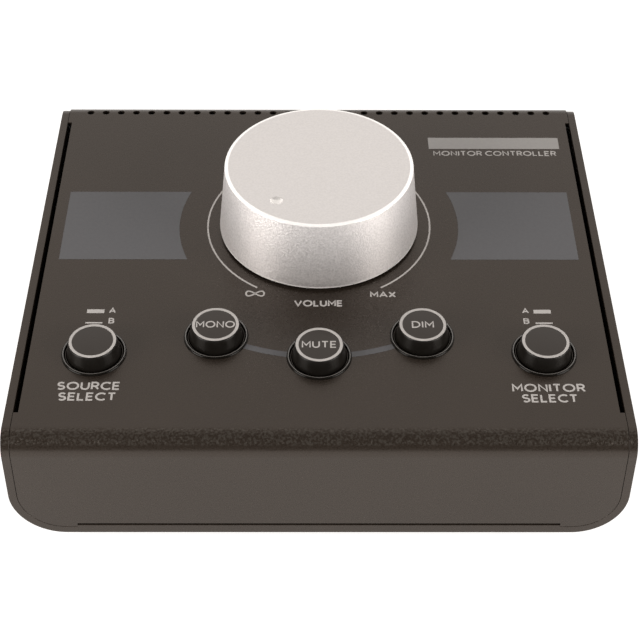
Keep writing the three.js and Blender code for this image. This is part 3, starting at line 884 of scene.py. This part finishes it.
def at_panel(u, v):
    return PANEL @ Matrix.Translation((u * MM, v * MM, 0))


def rectangle(u, v, width, height):
    return [(u - width / 2, v - height / 2), (u + width / 2, v - height / 2),
            (u + width / 2, v + height / 2), (u - width / 2, v + height / 2)]


# Millimetres on the panel, about the knob's axis.
LABEL_RADIUS = 47.7
LABEL_OUTER = 87.0
LABEL_FRONT = -18.3
LABEL_BACK = 17.0


def label_field(side, node):
    """A blank grey field whose inner edge is an arc about the knob."""
    low = math.degrees(math.asin(LABEL_FRONT / LABEL_RADIUS))
    high = math.degrees(math.asin(LABEL_BACK / LABEL_RADIUS))
    outline = arc((0, 0), LABEL_RADIUS, low, high, 48)
    outline += [(LABEL_OUTER, LABEL_BACK), (LABEL_OUTER, LABEL_FRONT)]
    outline = [(side * u, v) for u, v in outline]
    name = "label_field_left" if side < 0 else "label_field_right"
    piece = print_flat(name, outline, LABEL_GREY)
    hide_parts(node)
    return piece


# The arc runs round the knob but for ARC_OPEN degrees either side of the front. The link band
# ends in line with the points of LINK_END, and is cut back round the buttons.
ARC_RADII = (37.7, 38.27)
ARC_OPEN = 32.3
LINK_RADII = (62.6, 64.8)
LINK_END = (32.7, 54.8)
LINK_GAP_RADIUS = 9.6

# Words, height, width, stroke, u, v.
WORDS_ON_PANEL = [
    ("VOLUME", 3.0, 15.9, 0.60, -0.2, -39.6), ("MAX", 2.8, 8.5, 0.58, 20.9, -35.4),
    ("SOURCE", 3.4, 19.4, 0.62, -70.9, -76.5), ("SELECT", 3.4, 17.7, 0.62, -70.95, -81.0),
    ("MONITOR", 3.4, 22.5, 0.62, 70.5, -77.2), ("SELECT", 3.4, 17.1, 0.62, 70.5, -81.6),
    ("MONITOR CONTROLLER", 2.8, 44.4, 0.48, 63.6, 39.05),
]

# Beside the two selector buttons, mirrored: u, v, width, height or stroke.
SELECTOR_MARKS = {"mark_out": (72.1, -43.4, 5.6, 1.7), "mark_in": (72.15, -48.75, 5.5, 0.6)}
SELECTOR_LETTERS = {"A": (66.7, -43.0, 2.2, 0.48), "B": (66.6, -47.8, 1.9, 0.46)}
SELECTOR_LETTER_HEIGHT = 2.5
TITLE_BAR = (63.6, 44.95, 47.4, 6.5)


def volume_arc():
    """The arc round the knob."""
    start, end = -90 + ARC_OPEN, 270 - ARC_OPEN
    scale = ring_band("volume_arc", *ARC_RADII, INK_LOW, INK_HIGH, start, end, 240)
    place(scale, PANEL)
    return finish_piece(scale, "case", INK)


def link_band():
    """The band that links the three middle buttons."""
    reach = math.degrees(math.atan2(*LINK_END))
    start, end = -90 - reach, -90 + reach
    band = ring_band("link_band", *LINK_RADII, INK_LOW, INK_HIGH, start, end, 96)
    gaps = []
    for name in ("mono", "mute", "dim"):
        u, v = button_places[name]
        gaps.append(prism("hole", disc_outline(u, v, LINK_GAP_RADIUS * MM, 64), -MM, MM))
    boolean(band, "DIFFERENCE", gaps)
    place(band, PANEL)
    return finish_piece(band, "case", LABEL_GREY)


def panel_print():
    """Everything printed on the panel but the label fields and the infinity sign."""
    volume_arc()
    link_band()
    for i, (words, height, width, weight, u, v) in enumerate(WORDS_ON_PANEL):
        name = f"print_{i}_" + words.lower().replace(" ", "_")
        lettering(name, words, height, width, weight, "case", at_panel(u, v))
    for side, name in ((-1, "source"), (1, "monitor")):
        for mark, (u, v, width, height) in SELECTOR_MARKS.items():
            print_flat(f"{name}_{mark}", rectangle(side * u, v, width, height))
        for letter, (u, v, width, weight) in SELECTOR_LETTERS.items():
            where = at_panel(side * u, v)
            full_name = f"{name}_letter_{letter.lower()}"
            lettering(full_name, letter, SELECTOR_LETTER_HEIGHT, width, weight, "case", where)
    print_flat("title_bar", rectangle(*TITLE_BAR), BAR_INK)


INFINITY_PLACE = (-20.9, -35.0)
INFINITY_REACH = 2.95
INFINITY_RISE = 1.15
INFINITY_STROKE_HALF = 0.27


def infinity_sign():
    """The closed end of the scale."""
    steps = 48
    line = []
    for i in range(steps + 1):
        angle = 2 * math.pi * i / steps
        line.append((INFINITY_REACH * math.sin(angle), INFINITY_RISE * math.sin(2 * angle)))
    half = INFINITY_STROKE_HALF * MM
    piece = ribbon("print_infinity", in_mm(line), half, INK_LOW * MM, INK_HIGH * MM)
    place(piece, at_panel(*INFINITY_PLACE))
    return finish_piece(piece, "case", INK)


CAP_RING_RADII = (6.45, 7.36)
CAP_WORD_HEIGHT = 3.0
CAP_WORD_STROKE = 0.47
WORDS_ON_CAPS = {"mono": ("MONO", 12.3), "mute": ("MUTE", 10.9), "dim": ("DIM", 7.0)}


def cap_print(name):
    """The pale ring on a cap's face and, on the middle three, a word."""
    body = name + "_button"
    on_cap = PANEL @ Matrix.Translation((*button_places[name], CAP_TOP * MM))
    ring = ring_band(name + "_cap_ring", *CAP_RING_RADII, INK_LOW, INK_HIGH)
    place(ring, on_cap)
    finish_piece(ring, body, INK)
    if name in WORDS_ON_CAPS:
        words, width = WORDS_ON_CAPS[name]
        lettering(name + "_word", words, CAP_WORD_HEIGHT, width, CAP_WORD_STROKE, body, on_cap)


# ---------------------------------------------------------------- sockets at the back

JACKS = [f"jack_{i}" for i in range(1, 9)]
JACK_HALF_HEIGHT = 7.2 * MM

# Radii in millimetres: the threaded nose, the bore, the nut's hole and the panel's hole.
JACK_RADII = (5.4, 3.3, 5.5, 5.7)
MINI_RADII = (3.4, 1.8, 3.5, 3.7)
SOCKET_BACK_WALL = 2
DRILL_OVERRUN = 5


def threaded(radius, low, high, pitch=0.8, depth=0.25):
    """Profile points of a thread as stacked grooves, from low to high."""
    points = []
    count = int((high - low) / pitch)
    for i in range(count):
        points += [(radius - depth, low + i * pitch), (radius, low + (i + 0.5) * pitch)]
    points.append((radius - depth, high))
    return points


def socket(node, nose, bore):
    """A moulded block whose threaded nose comes through the rear panel round an open bore."""
    low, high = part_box(node)
    x = (low.x + high.x) / 2
    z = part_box(node)[0].z + (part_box("jack_1")[1].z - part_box("jack_1")[0].z) / 2
    block_rear = rear_panel_y - SHEET - SEAM
    block_top = min(high.z, z + JACK_HALF_HEIGHT)
    body = block("body", (low.x, low.y, low.z), (high.x, block_rear, block_top))
    soften(body, width=0.4 * MM)
    length = (high.y - block_rear) / MM
    profile = [(bore, -3.0), (nose - 0.3, -3.0), (nose - 0.3, 0)]
    profile += threaded(nose, 0.2, length - 0.5)
    profile += [(nose - 0.4, length - 0.15), (nose - 0.7, length)]
    profile += [(bore + 0.5, length), (bore, length - 0.5)]
    barrel = lathe("barrel", in_mm(profile), 48, closed=True)
    smooth(barrel, 40)
    turn = Matrix.Translation((x, block_rear, z)) @ Matrix.Rotation(-math.pi / 2, 4, "X")
    place(barrel, turn)
    depth = (block_rear - low.y) / MM - SOCKET_BACK_WALL
    drill = [(0, -depth), (bore, -depth), (bore, DRILL_OVERRUN), (0, DRILL_OVERRUN)]
    bore_tool = lathe("bore", in_mm(drill), 48)
    bore_tool.data.transform(turn)
    boolean(body, "DIFFERENCE", [bore_tool])
    piece = joined(node + "_socket", [body, barrel])
    return finish_piece(piece, "case", JACK_PLASTIC, [node])


def hex_nut(node, hole):
    """A chamfered hexagon nut on the rear panel."""
    low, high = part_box(node)
    middle = (low + high) / 2
    flats = (high.x - low.x) / MM
    thick = (high.y - low.y) / MM
    corner = flats / math.sqrt(3)
    outline = arc((0, 0), corner, 30, 330, 5)
    nut = prism(node + "_hex", in_mm(outline), -thick / 2 * MM, thick / 2 * MM)
    cone = [(0, -thick / 2), (corner + 0.3, -thick / 2), (corner + 0.3, thick / 2 - 0.6)]
    cone += [(corner - 0.9, thick / 2), (0, thick / 2)]
    boolean(nut, "INTERSECT", [lathe("cone", in_mm(cone), 72)])
    drill = [(0, -DRILL_OVERRUN), (hole, -DRILL_OVERRUN), (hole, DRILL_OVERRUN), (0, DRILL_OVERRUN)]
    boolean(nut, "DIFFERENCE", [lathe("hole", in_mm(drill), 48)])
    soften(nut, width=0.12 * MM, segments=2, angle=25)
    place(nut, Matrix.Translation(middle) @ Matrix.Rotation(-math.pi / 2, 4, "X"))
    return finish_piece(nut, "case", NICKEL, [node])


def rear_panel():
    """The upright sheet at the back with its jack holes and foot flange."""
    outline = front_outline(cover_half, inner_floor + SEAM, CORNER - WALL - SEAM)
    piece = along_y("back_sheet", outline, rear_panel_y - SHEET, rear_panel_y)
    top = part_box("rear_panel")[1].z
    above = block("above", (-half_width, 0, top), (half_width, rear_y + MM, top + REAR_CUT))
    boolean(piece, "DIFFERENCE", [above])
    flange_low = (-LIP_HALF, rear_panel_y - FLANGE, flange_z)
    flange_high = (LIP_HALF, rear_panel_y - SHEET / 2, flange_z + SHEET)
    boolean(piece, "UNION", [block("flange", flange_low, flange_high)])
    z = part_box("jack_1")[0].z + JACK_HALF_HEIGHT
    hole_radii = {name: JACK_RADII[3] for name in JACKS} | {"mini_jack": MINI_RADII[3]}
    tools = []
    for node, radius in hole_radii.items():
        hole = disc_outline(centre_of(node).x, z, radius * MM, 48)
        tools.append(along_y("hole", hole, 0, rear_y + MM))
    back_screws = [p for p in screw_places if p.y > 0]
    tools += upright_rods("hole", back_screws, SCREW_HOLE, 0, flange_z + 2 * SHEET)
    boolean(piece, "DIFFERENCE", tools)
    soften(piece, width=0.2 * MM, segments=2)
    return finish_piece(piece, "case", COAT, ["rear_panel"])


# ---------------------------------------------------------------- feet and screws


def foot(node):
    """A round rubber foot with a softened rim and a shallow dish underneath."""
    low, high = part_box(node)
    radius = (high.x - low.x) / 2 / MM
    height = (high.z - low.z) / MM
    dish = [(0, 0.5), (radius - 4, 0.5), (radius - 3, 0.35), (radius - 2.6, 0.05)]
    rim = [(radius - 1.2, 0)] + arc((radius - 1.0, 1.0), 1.0, -80, 0, 6)
    top = [(radius - 0.15, height), (0, height)]
    piece = lathe(node + "_pad", in_mm(dish + rim + top), 72)
    smooth(piece, 50)
    place(piece, Matrix.Translation(((low.x + high.x) / 2, (low.y + high.y) / 2, low.z)))
    return finish_piece(piece, "case", RUBBER, [node])


# Millimetres.
CROSS_REACH = 1.6
CROSS_HALF = 0.35
CROSS_DEPTH = 0.9
SHANK_RADIUS = 1.5


def screw(node):
    """A flat-topped machine screw with a cross recess, head down in its seat."""
    low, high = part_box(node)
    height = (high.z - low.z) / MM
    head = [(0, 0), (2.3, 0), (2.7, 0.25), (2.8, 0.6), (2.8, 1.4)]
    shank = threaded(SHANK_RADIUS, 1.45, height - 0.4, pitch=0.5, depth=0.2)
    end = [(1.0, height), (0, height)]
    piece = lathe(node + "_m3", in_mm(head + shank + end), 32)
    arms = []
    for x, y in ((CROSS_REACH, CROSS_HALF), (CROSS_HALF, CROSS_REACH)):
        arms.append(block("arm", (-x * MM, -y * MM, -MM), (x * MM, y * MM, CROSS_DEPTH * MM)))
    boolean(piece, "DIFFERENCE", arms)
    smooth(piece, 30)
    place(piece, Matrix.Translation(((low.x + high.x) / 2, (low.y + high.y) / 2, low.z)))
    return finish_piece(piece, "case", SCREW_BLACK, [node])


# ---------------------------------------------------------------- building the object

outer_wrap()
top_cover()
rear_panel()
knob_shell()
for name in BUTTON_NAMES:
    button_cap(name)
    button_bezel(name)
    cap_print(name)
label_field(-1, "label_left")
label_field(1, "label_right")
panel_print()
infinity_sign()
for name in JACKS:
    socket(name, JACK_RADII[0], JACK_RADII[1])
    hex_nut(name.replace("jack", "jack_nut"), JACK_RADII[2])
socket("mini_jack", MINI_RADII[0], MINI_RADII[1])
hex_nut("mini_jack_nut", MINI_RADII[2])
for i in range(1, 5):
    foot(f"foot_{i}")
    screw(f"case_screw_{i}")

# The CAD pieces that stay inside keep their shapes and get their own materials.
INNER = {
    "main_board": BOARD, "jack_board": BOARD, "ribbon_cable": RIBBON, "knob_hub": JACK_PLASTIC,
    "pot_body": NICKEL, "pot_washer": NICKEL, "pot_nut": NICKEL, "pot_shaft": NICKEL,
}
for name in BUTTON_NAMES:
    INNER[name + "_stem"] = BLACK_GLOSS
    INNER[name + "_switch"] = SWITCH_PLASTIC
for node, material in INNER.items():
    mesh = frame["nodes"][node].data
    mesh.materials.clear()
    mesh.materials.append(material)

# ---------------------------------------------------------------- stage, light and camera


FLOOR_HALF = 6.0
FLOOR_GLOW = 0.82


def floor():
    """A wide pale plane that gives off light itself, so that it stays white round the object."""
    corners = [(x * FLOOR_HALF, y * FLOOR_HALF, 0) for x, y in ((-1, -1), (1, -1), (1, 1), (-1, 1))]
    mesh = bpy.data.meshes.new("floor")
    mesh.from_pydata(corners, [], [(0, 1, 2, 3)])
    plane = link("floor", mesh)
    shader = Shader("pale_floor", (0.45, 0.46, 0.47), 0.9)
    shader.tint(shader.noise(300, 2), 0.01)
    shader.set(Emission_Color=(1.0, 0.985, 0.97, 1), Emission_Strength=FLOOR_GLOW)
    plane.data.materials.append(shader.material)


def softbox(name, place_at, aim, size, power, color):
    light = bpy.data.lights.new(name, "AREA")
    light.shape = "RECTANGLE"
    light.size, light.size_y = size
    light.energy = power
    light.color = color
    lamp = link(name, light)
    lamp.location = place_at
    lamp.rotation_euler = (Vector(aim) - Vector(place_at)).to_track_quat("-Z", "Y").to_euler()
    return lamp


WARM_WHITE = (1.0, 0.95, 0.90)

# The surround's strength rises with a direction's y: from, to, rise.
SURROUND_BASE = 0.03
SURROUND_FADES = ((-0.70, -0.15, 0.08), (-0.15, 0.50, 0.92))

# The soft boxes, in metres and watts.
BOX_AIM = (0, 0, 0.04)
BOX_SIZE = (0.6, 0.6)
BOXES = {"left_box": ((-0.85, -0.48, 0.32), 11), "right_box": ((0.85, -0.48, 0.32), 10)}


def studio():
    """A surround that is white behind the object and dark where the viewer stands, and two soft
    boxes, one at each side."""
    world = bpy.data.worlds.new("studio")
    bpy.context.scene.world = world
    world.use_nodes = True
    nodes = world.node_tree.nodes
    links = world.node_tree.links
    background = nodes["Background"]
    direction = nodes.new("ShaderNodeTexCoord")
    split = nodes.new("ShaderNodeSeparateXYZ")
    links.new(direction.outputs["Generated"], split.inputs["Vector"])
    strength = None
    for start, end, rise in SURROUND_FADES:
        fade = nodes.new("ShaderNodeMapRange")
        fade.interpolation_type = "SMOOTHSTEP"
        fade.inputs["From Min"].default_value = start
        fade.inputs["From Max"].default_value = end
        fade.inputs["To Max"].default_value = rise
        links.new(split.outputs["Y"], fade.inputs["Value"])
        total = nodes.new("ShaderNodeMath")
        total.inputs[1].default_value = SURROUND_BASE
        links.new(fade.outputs["Result"], total.inputs[0])
        if strength:
            links.new(strength, total.inputs[1])
        strength = total.outputs["Value"]
    links.new(strength, background.inputs["Strength"])
    background.inputs["Color"].default_value = (*WARM_WHITE, 1)
    for name, (place_at, power) in BOXES.items():
        softbox(name, place_at, BOX_AIM, BOX_SIZE, power, WARM_WHITE)


# In the panel's frame: the place in millimetres, then yaw, pitch and roll in degrees.
CAMERA_PLACE = (-1.70, -402.60, 345.64)
CAMERA_TURN = (0.321, 44.214, 0.279)
CAMERA_SENSOR = 36
CAMERA_LENS = 86.8


def camera():
    """Looks down on the panel from the front."""
    place_at = Vector(CAMERA_PLACE) * MM
    yaw, pitch, roll = (math.radians(angle) for angle in CAMERA_TURN)
    ahead = math.cos(pitch)
    forward = Vector((math.sin(yaw) * ahead, math.cos(yaw) * ahead, -math.sin(pitch)))
    right = Vector((math.cos(yaw), -math.sin(yaw), 0))
    up = right.cross(forward)
    right_rolled = right * math.cos(roll) + up * math.sin(roll)
    up_rolled = -right * math.sin(roll) + up * math.cos(roll)
    turn = Matrix((right_rolled, up_rolled, -forward)).transposed().to_4x4()
    data = bpy.data.cameras.new("camera")
    data.sensor_width = CAMERA_SENSOR
    data.lens = CAMERA_LENS
    data.clip_start = 0.01
    eye = link("camera", data)
    eye.matrix_world = PANEL @ Matrix.Translation(place_at) @ turn
    bpy.context.scene.camera = eye


floor()
studio()
camera()
bpy.context.scene.view_settings.view_transform = "Standard"

bpy.context.view_layer.update()
